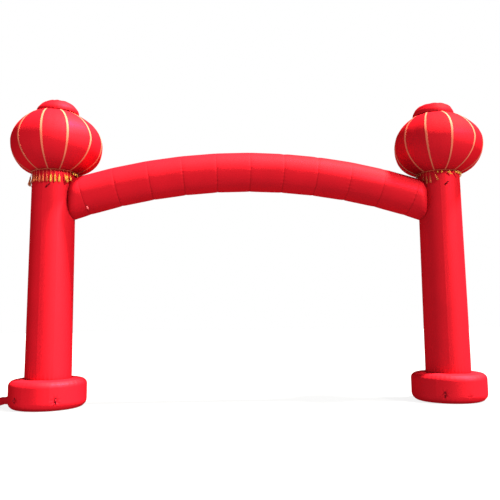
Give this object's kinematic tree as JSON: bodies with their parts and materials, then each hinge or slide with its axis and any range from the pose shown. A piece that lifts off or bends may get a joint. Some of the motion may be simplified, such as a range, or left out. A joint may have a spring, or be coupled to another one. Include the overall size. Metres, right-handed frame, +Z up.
{
  "type": "inflatable arch",
  "caption": "Inflatable gateway arch of filled red cloth: a bowed cross tube between columns on round feet, with a ribboned, fringed lantern on top of each.",
  "frame": {"origin": "centre of the left foot's flat underside", "axes": "+X from the left foot to the right foot, -Y to the front, +Z up"},
  "size_m": [8.6336, 1.5372, 5.2203],
  "materials": {
    "cloth_red": "red polyester cloth with a satin sheen",
    "ribbon_gold": "pale gold satin ribbon",
    "fringe_gold": "yellow gold yarn",
    "webbing_red": "dark red ribbed webbing"
  },
  "bodies": {
    "root": {"arch_beam": "cloth_red", "base_left": "cloth_red", "base_right": "cloth_red", "blower_sleeve": "cloth_red", "collar_left": "cloth_red", "collar_right": "cloth_red", "column_left": "cloth_red", "column_right": "cloth_red", "fringe_left": "fringe_gold", "fringe_right": "fringe_gold", "lantern_left": "cloth_red", "lantern_right": "cloth_red", "loop_beam": "webbing_red", "loop_column_left": "webbing_red", "loop_column_right": "webbing_red", "loop_foot_left": "webbing_red", "loop_foot_left_outer": "webbing_red", "loop_foot_right": "webbing_red", "ribbon_left_01": "ribbon_gold", "ribbon_left_02": "ribbon_gold", "ribbon_left_03": "ribbon_gold", "ribbon_left_04": "ribbon_gold", "ribbon_left_05": "ribbon_gold", "ribbon_left_06": "ribbon_gold", "ribbon_left_07": "ribbon_gold", "ribbon_left_08": "ribbon_gold", "ribbon_left_09": "ribbon_gold", "ribbon_left_10": "ribbon_gold", "ribbon_left_11": "ribbon_gold", "ribbon_left_12": "ribbon_gold", "ribbon_right_01": "ribbon_gold", "ribbon_right_02": "ribbon_gold", "ribbon_right_03": "ribbon_gold", "ribbon_right_04": "ribbon_gold", "ribbon_right_05": "ribbon_gold", "ribbon_right_06": "ribbon_gold", "ribbon_right_07": "ribbon_gold", "ribbon_right_08": "ribbon_gold", "ribbon_right_09": "ribbon_gold", "ribbon_right_10": "ribbon_gold", "ribbon_right_11": "ribbon_gold", "ribbon_right_12": "ribbon_gold"}
  },
  "joints": []
}
